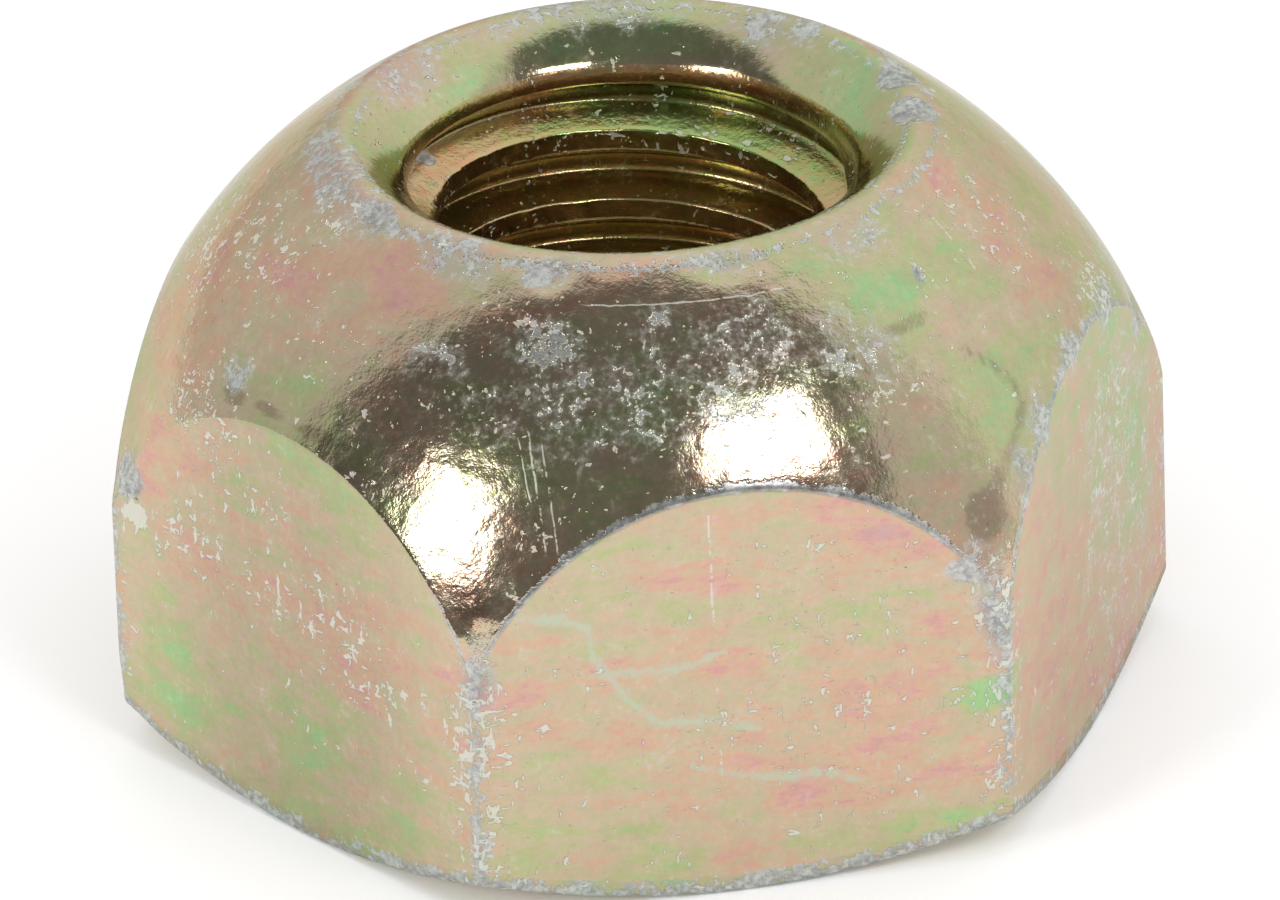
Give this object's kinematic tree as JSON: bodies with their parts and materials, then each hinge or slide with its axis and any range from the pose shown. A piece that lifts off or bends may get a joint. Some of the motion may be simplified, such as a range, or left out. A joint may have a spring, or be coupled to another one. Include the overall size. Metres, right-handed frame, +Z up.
{
  "type": "ball seat nut",
  "caption": "Short hex nut with a spherical seat turned on its top, a rolled lip round the mouth and a threaded through hole; yellow zinc finish.",
  "frame": {"origin": "centre of the flat base, on the hole's axis", "axes": "+Z up the hole's axis, out of the ball end; -Y faces out of one hex flat, X runs across corners"},
  "size_m": [0.022, 0.019, 0.0127],
  "materials": {
    "plated_steel": "yellow chromate zinc plate, satin flats and bright ball, worn at the edges"
  },
  "bodies": {
    "root": {"nut": "plated_steel"}
  },
  "joints": []
}
